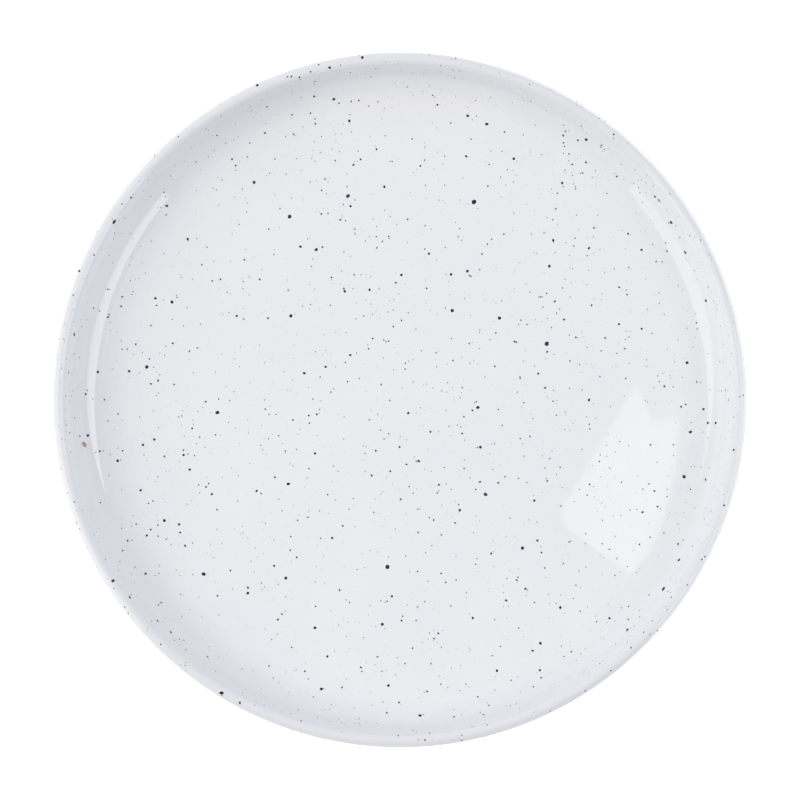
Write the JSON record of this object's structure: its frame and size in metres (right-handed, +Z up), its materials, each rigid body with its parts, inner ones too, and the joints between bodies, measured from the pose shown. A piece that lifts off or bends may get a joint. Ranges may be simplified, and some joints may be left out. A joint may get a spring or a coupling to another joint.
{
  "type": "coupe dinner plate",
  "caption": "Round coupe dinner plate with a flat floor, soft cove, low steep wall and full-round lip, in speckled white glaze over stoneware with a bare foot ring.",
  "frame": {"origin": "on the plate's axis, at the level of the table that the foot ring stands on", "axes": "+Z is up along the plate's axis; the plate is round, so X and Y are free"},
  "size_m": [0.27, 0.27, 0.025],
  "materials": {
    "stoneware": "bare fired clay, matt",
    "glaze": "glossy white glaze with fine dark specks"
  },
  "bodies": {
    "root": {"stoneware_body": "stoneware", "glaze_coat": "glaze", "foot_well_glaze": "glaze"}
  },
  "joints": []
}
